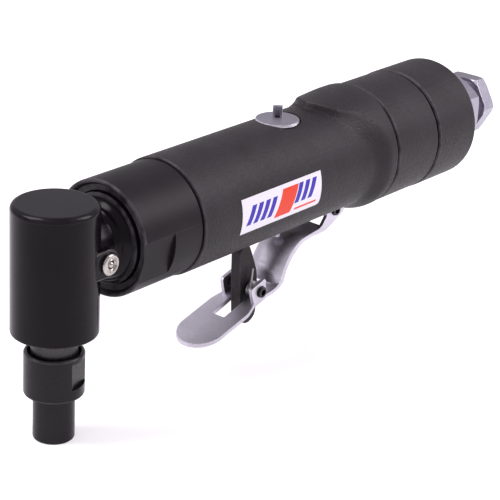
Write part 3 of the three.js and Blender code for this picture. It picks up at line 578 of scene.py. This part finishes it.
def label_film():
    """Printed film whose colours follow the label's own UV map."""
    material = bpy.data.materials.new("label_film")
    material.use_nodes = True
    nodes = material.node_tree.nodes
    link = material.node_tree.links.new
    shader = nodes["Principled BSDF"]
    shader.inputs["Specular IOR Level"].default_value = 0.3
    spot = nodes.new("ShaderNodeUVMap")
    axes = nodes.new("ShaderNodeSeparateXYZ")
    link(spot.outputs["UV"], axes.inputs["Vector"])

    def sums(operation, first, second):
        node = nodes.new("ShaderNodeMath")
        node.operation = operation
        for socket, value in zip(node.inputs, (first, second)):
            if isinstance(value, float):
                socket.default_value = value
            else:
                link(value, socket)
        return node.outputs["Value"]

    def within(value, low, high):
        return sums("MULTIPLY", sums("GREATER_THAN", value, low), sums("LESS_THAN", value, high))

    along, across = axes.outputs["X"], axes.outputs["Y"]
    fibre = nodes.new("ShaderNodeTexNoise")
    fibre.inputs["Scale"].default_value = 60.0
    link(spot.outputs["UV"], fibre.inputs["Vector"])
    ground = nodes.new("ShaderNodeValToRGB")
    ground.color_ramp.elements[0].color = (*[0.93 * channel for channel in LABEL_WHITE], 1.0)
    ground.color_ramp.elements[1].color = (*LABEL_WHITE, 1.0)
    link(fibre.outputs["Fac"], ground.inputs["Fac"])
    colour = ground.outputs["Color"]
    for start, end, bottom, top, slant, ink in LABEL_BARS:
        leaning = sums("SUBTRACT", along, sums("MULTIPLY", sums("SUBTRACT", across, bottom), slant))
        mask = sums("MULTIPLY", within(leaning, start, end), within(across, bottom, top))
        layer = nodes.new("ShaderNodeMix")
        layer.data_type = "RGBA"
        link(mask, layer.inputs["Factor"])
        link(colour, layer.inputs["A"])
        layer.inputs["B"].default_value = (*ink, 1.0)
        colour = layer.outputs["Result"]
    trim = nodes.new("ShaderNodeMix")
    trim.data_type = "RGBA"
    inside = sums("MULTIPLY", sums("LESS_THAN", along, 0.992), sums("GREATER_THAN", across, 0.02))
    link(inside, trim.inputs["Factor"])
    trim.inputs["A"].default_value = (*LABEL_EDGE, 1.0)
    link(colour, trim.inputs["B"])
    link(trim.outputs["Result"], shader.inputs["Base Color"])
    wrinkle = nodes.new("ShaderNodeTexNoise")
    wrinkle.inputs["Scale"].default_value = 9.0
    link(spot.outputs["UV"], wrinkle.inputs["Vector"])
    gloss = nodes.new("ShaderNodeMapRange")
    gloss.inputs["To Min"].default_value = 0.38
    gloss.inputs["To Max"].default_value = 0.5
    link(wrinkle.outputs["Fac"], gloss.inputs["Value"])
    link(gloss.outputs["Result"], shader.inputs["Roughness"])
    return material


label_low, label_high = reach("side_label")
LABEL_HALF_TURN = math.degrees(math.atan2(label_high.z, GRIP_R))
bpy.ops.object.select_all(action="DESELECT")
bpy.ops.mesh.primitive_grid_add(x_subdivisions=LABEL_COLUMNS, y_subdivisions=LABEL_ROWS, size=2.0)
label = bpy.context.object
label.name = "label_sheet"
for vertex in label.data.vertices:
    along, across = vertex.co.x, vertex.co.y
    length = label_high.x - label_low.x
    height = 2 * math.radians(LABEL_HALF_TURN) * GRIP_R
    # The corner at the rear lower end is rounded, the others are square.
    past_x = along * length / 2 - (length / 2 - LABEL_CORNER)
    past_y = -across * height / 2 - (height / 2 - LABEL_CORNER)
    x_pull = y_pull = 0.0
    if past_x > 0 and past_y > 0:
        stretch = max(past_x, past_y) / math.hypot(past_x, past_y)
        x_pull, y_pull = past_x * (1 - stretch), past_y * (1 - stretch)
    x = label_low.x + (along + 1) * length / 2 - x_pull
    turn = across * math.radians(LABEL_HALF_TURN) + y_pull / GRIP_R
    radius = GRIP_R + 0.03
    vertex.co = place(x, -radius * math.cos(turn), radius * math.sin(turn))
only(label)
bpy.ops.object.mode_set(mode="EDIT")
settle()
apply(label, "SOLIDIFY", thickness=0.12 * MM, offset=1.0)
shade(label, angle=50)
paint(label, label_film())
seat(label, "housing", "label_film", "side_label")

# ---------------------------------------------------------------- exhaust ring and rear cap
# Two moulded rings behind the grip, with small rounded edges and a groove before each. The exhaust air
# leaves through holes in the rear face of the cap.
RING_RADIUS = 22.18
CAP_R = 22.4
EXHAUST_HOLES = 8
EXHAUST_HOLE_R = 1.8
EXHAUST_CIRCLE_R = 15.4


def rounded_ring(name, low, high, radius, front_round, rear_round, inner):
    """Ring with rounded outer edges and a plain bore."""
    front = [(x, r) for x, r in arc(low + front_round, radius - front_round, front_round, 180, 90, 6)]
    rear = [(x, r) for x, r in arc(high - rear_round, radius - rear_round, rear_round, 90, 0, 6)]
    return turned(name, "X", [(low, inner), *front, *rear, (high, inner), (low, inner)], sides=256)


ring_low, ring_high = reach("exhaust_ring")
ring = rounded_ring("exhaust_collar", ring_low.x, ring_high.x, RING_RADIUS, 0.9, 0.7, 11.9)
shade(ring)
paint(ring, composite_black)
seat(ring, "housing", "black_composite", "exhaust_ring")

cap_low, cap_high = reach("rear_cap")
cap = rounded_ring("exhaust_cap", cap_low.x, cap_high.x, CAP_R, 0.9, 1.0, 11.9)
for k in range(EXHAUST_HOLES):
    turn = (k + 0.5) * 2 * math.pi / EXHAUST_HOLES
    hole = turned("hole", "X", [
        (cap_high.x - 5.0, EXHAUST_HOLE_R), (cap_high.x - 0.4, EXHAUST_HOLE_R),
        (cap_high.x + 0.2, EXHAUST_HOLE_R + 0.6),
    ], spot=(0, EXHAUST_CIRCLE_R * math.sin(turn), EXHAUST_CIRCLE_R * math.cos(turn)), sides=32)
    combine(cap, hole, "DIFFERENCE")
shade(cap)
paint(cap, composite_black)
seat(cap, "housing", "black_composite", "rear_cap")

# ---------------------------------------------------------------- air inlet
# Steel bushing with a hexagon against the cap, and a steel adapter with its own hexagon screwed into it.
# Both are turned from hexagon bar and plated to a satin grey.
# Its lighter edge colour is partly wear, partly a painted highlight on sharp edges.
satin_steel = coating(
    "satin_steel", (0.27, 0.255, 0.31), (0.36, 0.34, 0.40), (0.30, 0.42), 1400.0, 0.000006, metallic=1.0,
    rubbed_and_highlight=(0.62, 0.60, 0.66),
)
BUSHING_HEX = 12.3
ADAPTER_HEX = 12.0
ADAPTER_FRONT = 220.4
NECK_BETWEEN = 9.2


def hex_bar(name, low, high, corner, first):
    """Hexagonal bar with its corners turned down at both ends."""
    corners = arc(0, 0, corner, first, first + 300, 5)
    bar = plate(name, "X", corners, low, high)
    turned_down = turned("turned_down", "X", [
        (low - 0.05, corner - 1.25), (low + 0.75, corner + 0.05), (high - 0.75, corner + 0.05),
        (high + 0.05, corner - 1.25),
    ], sides=96)
    combine(bar, turned_down, "INTERSECT")
    return ease(bar, 0.12, segments=2, angle=20)


bushing_low, bushing_high = reach("inlet_bushing")
adapter_high = reach("inlet_adapter")[1]
bushing = hex_bar("inlet_bushing_hex", 207.6, bushing_high.x, BUSHING_HEX, 30)
shank = turned("shank", "X", [
    (bushing_low.x, 8.2), (196.0, 8.2), (cap_high.x + 0.3, 11.4), (201.4, 11.4), (201.6, 10.4), (208.6, 10.4),
], sides=96)
combine(bushing, shank, "UNION")
adapter = hex_bar("inlet_adapter_hex", ADAPTER_FRONT, adapter_high.x, ADAPTER_HEX, 0)
adapter_neck = turned("adapter_neck", "X", [
    (bushing_high.x - 1.0, 6.6), (bushing_high.x + 0.3, 6.6), (bushing_high.x + 0.3, NECK_BETWEEN - 0.3),
    (bushing_high.x + 0.6, NECK_BETWEEN), (ADAPTER_FRONT + 0.4, NECK_BETWEEN),
], sides=96)
combine(adapter, adapter_neck, "UNION")
# The threaded mouth is cut as rings that step in and out.
THREAD_PITCH = 1.4
thread = [(adapter_high.x + 0.3, 7.2), (adapter_high.x - 0.9, 6.1)]
for k in range(6):
    crest = adapter_high.x - 1.2 - k * THREAD_PITCH
    thread += [(crest, 5.75), (crest - THREAD_PITCH / 2, 6.15)]
thread += [(adapter_high.x - 9.9, 5.7), (adapter_high.x - 15.0, 5.7)]
mouth = turned("mouth", "X", thread, sides=96)
stem = turned("stem", "X", [(208.0, 6.6), (bushing_high.x - 0.6, 6.6)], sides=96)
combine(adapter, stem, "UNION")
combine(adapter, mouth, "DIFFERENCE")
socket_bore = turned("socket_bore", "X", [(206.6, 6.9), (bushing_high.x + 1.0, 6.9)], sides=96)
combine(bushing, socket_bore, "DIFFERENCE")
for piece, node in ((bushing, "inlet_bushing"), (adapter, "inlet_adapter")):
    shade(piece, angle=30)
    paint(piece, satin_steel)
    seat(piece, "housing", "satin_steel", node)

# ---------------------------------------------------------------- chuck collar, collet nut and collet
# Black steel collar with two wrench flats, cupped at its top round the spindle; below it the slim nut
# closes the split spring-steel collet on the tool shank.
# Its lighter edge colour is partly wear, partly a painted highlight on sharp edges.
blackened_steel = coating(
    "blackened_steel", (0.0045, 0.0030, 0.0047), (0.0072, 0.0054, 0.0075), (0.24, 0.34), 1500.0, 0.000004,
    specular=0.18, rubbed_and_highlight=(0.05, 0.047, 0.05),
)
COLLAR_R = 9.7
COLLAR_FLAT_TURN = 20.0
COLLAR_FLAT_DEPTH = 1.3
collar_low, collar_high = reach("chuck_collar")
collar = turned("collar_body", "Z", [
    (-37.2, 5.5), (-34.9, 5.5), (-34.4, 8.3), (collar_high.z - 0.5, 8.45), (collar_high.z - 0.12, 8.6),
    (collar_high.z, 8.85), (collar_high.z - 0.08, 9.2), (collar_high.z - 0.3, 9.5),
    (collar_high.z - 0.7, COLLAR_R),
    (collar_low.z + 0.5, COLLAR_R), (collar_low.z + 0.15, COLLAR_R - 0.15), (collar_low.z, COLLAR_R - 0.5),
    (collar_low.z, 7.0), (-37.2, 7.0), (-37.2, 5.5),
], sides=160)
for half_turn in (0.0, 180.0):
    flat = plate("flat", "Y", [(-9, -42.3), (9, -42.3), (9, -33.5), (-9, -33.5)],
                 -COLLAR_R - 2, -COLLAR_R + COLLAR_FLAT_DEPTH)
    combine(collar, swing(flat, "Z", COLLAR_FLAT_TURN + half_turn), "DIFFERENCE")
shade(collar, angle=30)
paint(collar, blackened_steel)
seat(collar, "spindle", "black_aluminium", "chuck_collar")

NOSE_R = 6.7
nose_low, nose_high = reach("collet_nut")
nose = turned("collet_nut_body", "Z", [
    (nose_high.z, 5.5), (nose_high.z, NOSE_R), (nose_low.z + 0.5, NOSE_R), (nose_low.z + 0.15, NOSE_R - 0.15),
    (nose_low.z, NOSE_R - 0.5), (nose_low.z, 4.7), (nose_low.z + 0.3, 4.4), (-59.5, 4.4), (-57.5, 5.5),
    (nose_high.z, 5.5),
], sides=128)
shade(nose, angle=30)
paint(nose, blackened_steel)
seat(nose, "spindle", "dark_steel", "collet_nut")

spring_steel = coating(
    "spring_steel", (0.30, 0.29, 0.29), (0.42, 0.41, 0.41), (0.28, 0.42), 1600.0, 0.000005, metallic=1.0,
)
SLIT_HALF = 0.3
collet_low, collet_high = reach("collet")
collet = turned("collet_body", "Z", [
    (collet_high.z, 3.175), (collet_high.z, 5.1), (-57.4, 5.1), (-59.4, 4.0), (collet_low.z + 0.2, 4.0),
    (collet_low.z, 3.8), (collet_low.z, 3.4), (collet_low.z + 0.2, 3.175), (collet_high.z, 3.175),
], sides=96)
for degrees in (0, 120, 240):
    slit = plate("slit", "Z", [
        (-SLIT_HALF, 0), (SLIT_HALF, 0), (SLIT_HALF, 8), (-SLIT_HALF, 8),
    ], -63, -49)
    combine(collet, swing(slit, "Z", degrees), "DIFFERENCE")
shade(collet, angle=30)
paint(collet, spring_steel)
seat(collet, "spindle", "satin_steel", "collet")

# ---------------------------------------------------------------- regulator dial
# Plated steel disc that turns the air regulator, pressed on a brass stem: a tab for the thumb is bent up
# out of a slot in it.
DIAL_R = 7.6
DIAL_BOTTOM = 18.8
DIAL_TOP = 20.0
DIAL_TURN = 38.8
TAB_HALF = 1.75
TAB_TOP = 22.8
dial = turned("regulator_disc", "Z", [
    (DIAL_BOTTOM + 0.2, 5.5), (DIAL_BOTTOM, DIAL_R - 0.5), (DIAL_BOTTOM + 0.1, DIAL_R - 0.15),
    (DIAL_BOTTOM + 0.3, DIAL_R), (DIAL_TOP - 0.3, DIAL_R), (DIAL_TOP - 0.1, DIAL_R - 0.12),
    (DIAL_TOP, DIAL_R - 0.4),
], spot=(REGULATOR_X, 0, 0), sides=128)


def on_dial(x, y):
    """Corner on the dial, where x runs from its middle towards the tab."""
    turn = math.radians(DIAL_TURN)
    return (
        REGULATOR_X + x * math.cos(turn) - y * math.sin(turn), x * math.sin(turn) + y * math.cos(turn),
    )


slot_cut = plate("slot_cut", "Z", [
    on_dial(0.4, -0.85), on_dial(5.3, -0.85), on_dial(5.3, 0.85), on_dial(0.4, 0.85),
], DIAL_BOTTOM - 1, DIAL_TOP + 1)
combine(dial, slot_cut, "DIFFERENCE")
tab = plate("tab", "Z", [
    on_dial(5.35, -TAB_HALF), on_dial(6.45, -TAB_HALF), on_dial(6.45, TAB_HALF), on_dial(5.35, TAB_HALF),
], DIAL_BOTTOM + 0.3, TAB_TOP)
combine(dial, ease(tab, 0.22), "UNION")
shade(dial, angle=35)
paint(dial, satin_steel)
seat(dial, "regulator", "satin_steel", "regulator_dial")

turned_brass = coating(
    "turned_brass", (0.50, 0.35, 0.12), (0.62, 0.46, 0.18), (0.24, 0.36), 1500.0, 0.000005, metallic=1.0,
    stretch=(1, 1, 6),
)
dial_stem = turned("regulator_spindle", "Z", [
    (7.6, 2.4), (8.2, 3.0), (13.0, 3.0), (13.0, 2.4), (14.2, 2.4), (14.2, 3.0), (18.0, 3.0), (18.3, 2.7),
], spot=(REGULATOR_X, 0, 0), sides=64)
shade(dial_stem)
paint(dial_stem, turned_brass)
seat(dial_stem, "regulator", "brass", "regulator_stem")

# ---------------------------------------------------------------- throttle lever
# Pressed from one sheet of steel: ears on the hinge pin, a crowned step under the valve, upright ears for
# the lock lever and a slot for it, and a broad tongue for the fingers.
HINGE = (133.2, -18.9)
LOCK = (92.9, -38.5)
SHEET = 1.45
EAR_HOLE_R = 2.15
# Lower side of the sheet, station by station: along its edges, and along its middle where that differs.
LEVER_EDGE = [
    (127.0, -25.0), (120.5, -25.7), (114.6, -26.9), (109.9, -30.4), (107.1, -34.0), (106.3, -36.2),
    (105.8, -37.6), (105.2, -38.7), (103.6, -39.9), (101.4, -40.8), (99.3, -41.4), (95.1, -42.0),
    (90.0, -43.4), (84.0, -45.4), (73.0, -48.4), (66.0, -50.3), (61.0, -51.6),
]
LEVER_MIDDLE = [
    (127.0, -25.0), (120.5, -25.2), (114.2, -25.4), (108.3, -28.4), (105.0, -32.2), (103.9, -33.8),
    (103.2, -35.0), (103.0, -36.6), (102.8, -39.2), (101.2, -40.8), *LEVER_EDGE[10:],
]
LEVER_HALF = 7.3
TONGUE_HALF = 8.8
TONGUE_TIP = 62.0
SLOT = (79.0, 97.9, 2.7)
LEVER_ROWS = 200
LEVER_SIDE = 14


def on_line(line, share):
    """Point of a smooth curve through the stations of a line."""
    spans = len(line) - 1
    i = min(int(share * spans), spans - 1)
    t = share * spans - i
    p0, p1, p2, p3 = (Vector(line[min(max(k, 0), spans)]) for k in (i - 1, i, i + 1, i + 2))
    m1, m2 = (p2 - p0) / 2, (p3 - p1) / 2
    return (
        (2 * t**3 - 3 * t**2 + 1) * p1 + (t**3 - 2 * t**2 + t) * m1
        + (3 * t**2 - 2 * t**3) * p2 + (t**3 - t**2) * m2
    )


bpy.ops.object.select_all(action="DESELECT")
bpy.ops.mesh.primitive_grid_add(x_subdivisions=LEVER_ROWS, y_subdivisions=2 * LEVER_SIDE, size=2.0)
lever = bpy.context.object
lever.name = "lever_pressing"
for vertex in lever.data.vertices:
    share, across = (vertex.co.x + 1) / 2, vertex.co.y * (TONGUE_HALF + 0.6)
    bulge = 1 - min(1.0, abs(across) / LEVER_HALF) ** 3
    point = on_line(LEVER_EDGE, share).lerp(on_line(LEVER_MIDDLE, share), bulge)
    vertex.co = place(point.x, across, point.y)
only(lever)
bpy.ops.object.mode_set(mode="EDIT")
bpy.ops.mesh.select_all(action="SELECT")
bpy.ops.mesh.normals_make_consistent(inside=False)
bpy.ops.object.mode_set(mode="OBJECT")
if sum(face.normal.z for face in lever.data.polygons) < 0:
    only(lever)
    bpy.ops.object.mode_set(mode="EDIT")
    bpy.ops.mesh.select_all(action="SELECT")
    bpy.ops.mesh.flip_normals()
    bpy.ops.object.mode_set(mode="OBJECT")
apply(lever, "SOLIDIFY", thickness=SHEET * MM, offset=1.0)
flank = [
    (84.0 + 7.0 * i / 8, TONGUE_HALF + (LEVER_HALF - TONGUE_HALF) * smoothstep(0, 8, i)) for i in range(9)
]
lever_outline = [
    *arc(TONGUE_TIP + TONGUE_HALF, 0, TONGUE_HALF, 90, 270, 48), *((x, -y) for x, y in flank),
    (130.0, -LEVER_HALF), (130.0, LEVER_HALF), *reversed(flank),
]
combine(lever, plate("lever_blank", "Z", lever_outline, -60.0, -15.0), "INTERSECT")
slot_front, slot_rear, slot_half = SLOT
slot = ease(plate("slot", "Z", [
    (slot_front, -slot_half), (slot_rear, -slot_half), (slot_rear, slot_half), (slot_front, slot_half),
], -60.0, -20.0), 0.5, segments=3)
combine(lever, slot, "DIFFERENCE")
ease(lever, 0.22, segments=2, angle=50)

# Its lighter edge colour is partly wear, partly a painted highlight on sharp edges.
pressed_steel = coating(
    "pressed_steel", (0.50, 0.475, 0.545), (0.62, 0.59, 0.665), (0.38, 0.48), 1400.0, 0.000006, metallic=1.0,
    rubbed_and_highlight=(0.80, 0.78, 0.80),
)
hinge_ear = [
    (138.4, -17.4), *arc(137.4, -20.3, 1.0, 0, -50, 4), (128.3, -25.6), (122.0, -25.9), (121.6, -24.8),
    (126.0, -23.0), (128.4, -20.0), *arc(129.6, -17.6, 1.0, 180, 90, 4), (137.4, -16.6),
]
lock_ear = [
    (95.5, -35.0), (95.5, -42.2), (89.7, -43.7), (88.5, -39.5), (87.9, -36.8), (88.4, -36.1), (94.7, -34.2),
]
for side in (-1, 1):
    inner, outer = side * (LEVER_HALF - SHEET), side * (LEVER_HALF + 0.02)
    for outline in (hinge_ear, lock_ear):
        ear = plate("ear", "Y", outline, min(inner, outer), max(inner, outer))
        combine(lever, ease(ear, 0.2, segments=2, angle=30), "UNION")
for x, z in (HINGE, LOCK):
    bore = turned("bore", "Y", [(-12.0, EAR_HOLE_R), (12.0, EAR_HOLE_R)], spot=(x, 0, z), sides=48)
    combine(lever, bore, "DIFFERENCE")
shade(lever, angle=35, bends=(1.4, 3.0))
paint(lever, pressed_steel)
seat(lever, "lever", "satin_steel", "throttle_lever")

# ---------------------------------------------------------------- pins
# Rolled spring pins of blackened steel: a split tube with rounded ends, driven through both ears.
PIN_WALL = 0.8
PIN_R = 1.95
PIN_GAP_HALF = 0.22


def roll_pin(name, spot, radius, half, body, node, split):
    """Split tube along Y, with the split at an angle in degrees."""
    x, z = spot
    bore = radius - PIN_WALL
    pin = turned(name, "Y", [
        (-half, bore), (-half, radius - 0.35), (-half + 0.12, radius - 0.1), (-half + 0.4, radius),
        (half - 0.4, radius), (half - 0.12, radius - 0.1), (half, radius - 0.35), (half, bore), (-half, bore),
    ], spot=(x, 0, z), sides=64)
    gap = plate("gap", "Y", [
        (x, z - PIN_GAP_HALF), (x + radius + 1, z - PIN_GAP_HALF),
        (x + radius + 1, z + PIN_GAP_HALF), (x, z + PIN_GAP_HALF),
    ], -half - 1, half + 1)
    combine(pin, swing(gap, "Y", split, spot=(x, 0, z)), "DIFFERENCE")
    shade(pin, angle=35)
    paint(pin, blackened_steel)
    seat(pin, body, "dark_steel", node)


roll_pin("hinge_roll_pin", HINGE, PIN_R, 8.3, "housing", "hinge_pin", 200.0)
roll_pin("lock_roll_pin", LOCK, PIN_R, 8.5, "lever", "lock_pin", 120.0)

# ---------------------------------------------------------------- lock lever
# Moulded black bar that stands in the slot of the tongue and blocks the throttle until its lower end is
# pushed forward.
LOCK_HALF = 2.1
LOCK_TOP_R = 16.4


def lock_top(radius, degrees):
    """Point of the bar's round top, by its angle forward of straight up at the pivot."""
    angle = math.radians(degrees)
    return (LOCK[0] - radius * math.sin(angle), LOCK[1] + radius * math.cos(angle))


bar_outline = [
    (92.4, -23.1), *(lock_top(LOCK_TOP_R, 5.5 + 2.0 * k) for k in range(6)), lock_top(LOCK_TOP_R - 0.7, 20.0),
    lock_top(LOCK_TOP_R - 2.0, 23.6), (87.3, -31.0), (87.5, -36.0), (88.3, -47.8), (88.8, -49.6),
    (90.0, -51.2), (91.6, -52.0), (93.2, -52.1), (95.0, -51.4), (96.4, -50.1), (97.0, -48.6),
    (97.2, -46.5), (97.1, -38.0), (96.6, -33.0), (94.6, -28.0),
]
bar = ease(plate("lock_bar", "Y", bar_outline, -LOCK_HALF, LOCK_HALF), 0.35, segments=4, angle=50)
pin_hole = turned("pin_hole", "Y", [(-5.0, 2.0), (5.0, 2.0)], spot=(LOCK[0], 0, LOCK[1]), sides=48)
combine(bar, pin_hole, "DIFFERENCE")
shade(bar, angle=35)
paint(bar, composite_black)
seat(bar, "lock", "black_composite", "lock_lever")

# ---------------------------------------------------------------- lock spring
# Torsion spring of round wire on the lock pin, between the near ear and the bar, with a leg that hooks
# round the front of the bar and one that rests on the lever.
WIRE_R = 0.42
COIL_R = 2.45
COIL_FROM = -5.0
COIL_TURNS = 3

bpy.ops.object.select_all(action="DESELECT")
bpy.ops.mesh.primitive_circle_add(
    vertices=16, radius=WIRE_R * MM, location=place(LOCK[0] + COIL_R, COIL_FROM, LOCK[1]),
)
bpy.ops.object.transform_apply(location=True, rotation=True, scale=True)
spring = bpy.context.object
spring.name = "lock_spring_wire"
bpy.ops.object.mode_set(mode="EDIT")
bpy.ops.mesh.select_all(action="SELECT")
COIL_STEPS = 28 * COIL_TURNS
pivot = place(LOCK[0], 0, LOCK[1])
for _ in range(COIL_STEPS):
    bpy.ops.mesh.extrude_region_move(
        TRANSFORM_OT_translate={"value": (0, 2.15 * WIRE_R * MM * COIL_TURNS / COIL_STEPS, 0)}
    )
    bpy.ops.transform.rotate(
        value=2 * math.pi * COIL_TURNS / COIL_STEPS, orient_axis="Y", center_override=pivot,
    )
bpy.ops.mesh.select_all(action="SELECT")
bpy.ops.mesh.fill_holes(sides=0)
settle()


def wire_leg(name, path, radius):
    """Straight lengths of wire through the points of a path."""
    legs = None
    for start, end in zip(path, path[1:]):
        low, high = place(*start), place(*end)
        bpy.ops.object.select_all(action="DESELECT")
        bpy.ops.mesh.primitive_cylinder_add(
            vertices=16, radius=radius * MM, depth=(high - low).length + radius * MM,
            location=(low + high) / 2, rotation=(high - low).to_track_quat("Z", "Y").to_euler(),
        )
        bpy.ops.object.transform_apply(location=True, rotation=True, scale=True)
        leg = ease(bpy.context.object, 0.12, segments=2)
        if legs is None:
            legs = leg
            legs.name = name
        else:
            combine(legs, leg, "UNION")
    return legs


upper_leg = wire_leg("upper_leg", [(90.3, -4.6, -37.2), (92.5, -3.4, -31.0)], WIRE_R)
lower_leg = wire_leg("lower_leg", [(93.6, -2.6, -40.7), (98.6, -3.6, -39.9)], WIRE_R)
combine(spring, upper_leg, "UNION")
combine(spring, lower_leg, "UNION")
shade(spring, angle=50)
paint(spring, spring_steel)
seat(spring, "lever", "satin_steel", "lock_spring")

# ---------------------------------------------------------------- throttle valve pin
# Steel pin that the lever's step pushes up to open the valve; its round end shows below the grip.
valve_low, valve_high = reach("valve_pin")
valve = turned("valve_plunger", "Z", [
    (valve_high.z - 0.12, 4.0), (valve_high.z - 1.7, 4.0), (valve_high.z - 1.7, 1.6),
    (valve_low.z + 0.6, 1.6), (valve_low.z + 0.2, 1.35), (valve_low.z, 0.9),
], spot=(VALVE_X, 0, 0), sides=64)
shade(valve, angle=40)
paint(valve, satin_steel)
seat(valve, "valve", "satin_steel", "valve_pin")

# ---------------------------------------------------------------- motor, gears and seals
# The pieces inside keep their CAD shapes: ground bearing steel, blackened plates and rotor, laminated
# phenolic vanes, a felt silencer, nitrile seals and turned brass.
bearing_steel = coating(
    "bearing_steel", (0.38, 0.38, 0.39), (0.50, 0.50, 0.51), (0.16, 0.28), 1500.0, 0.000004, metallic=1.0,
)
oxide_steel = coating(
    "oxide_steel", (0.035, 0.033, 0.036), (0.060, 0.057, 0.060), (0.32, 0.46), 1500.0, 0.000006, metallic=0.9,
)
nitrile = coating("nitrile", (0.010, 0.010, 0.010), (0.020, 0.020, 0.020), (0.70, 0.85), 2500.0, 0.00002)
pressed_felt = coating(
    "pressed_felt", (0.12, 0.11, 0.10), (0.22, 0.20, 0.18), (0.92, 1.0), 3500.0, 0.0002,
)
phenolic = coating(
    "phenolic", (0.07, 0.035, 0.015), (0.13, 0.07, 0.03), (0.50, 0.68), 3000.0, 0.00003, stretch=(1, 8, 8),
)
INNER_FINISHES = {
    bearing_steel: [
        "front_motor_bearing", "rear_motor_bearing", "pinion_bearing", "spindle_top_bearing",
        "spindle_lower_bearing", "bevel_pinion", "bevel_gear", "valve_spring",
    ],
    oxide_steel: [
        "spindle", "bearing_retainer", "front_end_plate", "cylinder_liner", "rear_end_plate", "rotor",
    ],
    turned_brass: ["valve_seat", "inlet_screen"],
    nitrile: ["head_seal", "ring_gasket"],
    pressed_felt: ["muffler_felt"],
    phenolic: ["vane_1", "vane_2", "vane_3", "vane_4"],
}
for material, names in INNER_FINISHES.items():
    for name in names:
        paint(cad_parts[name], material)
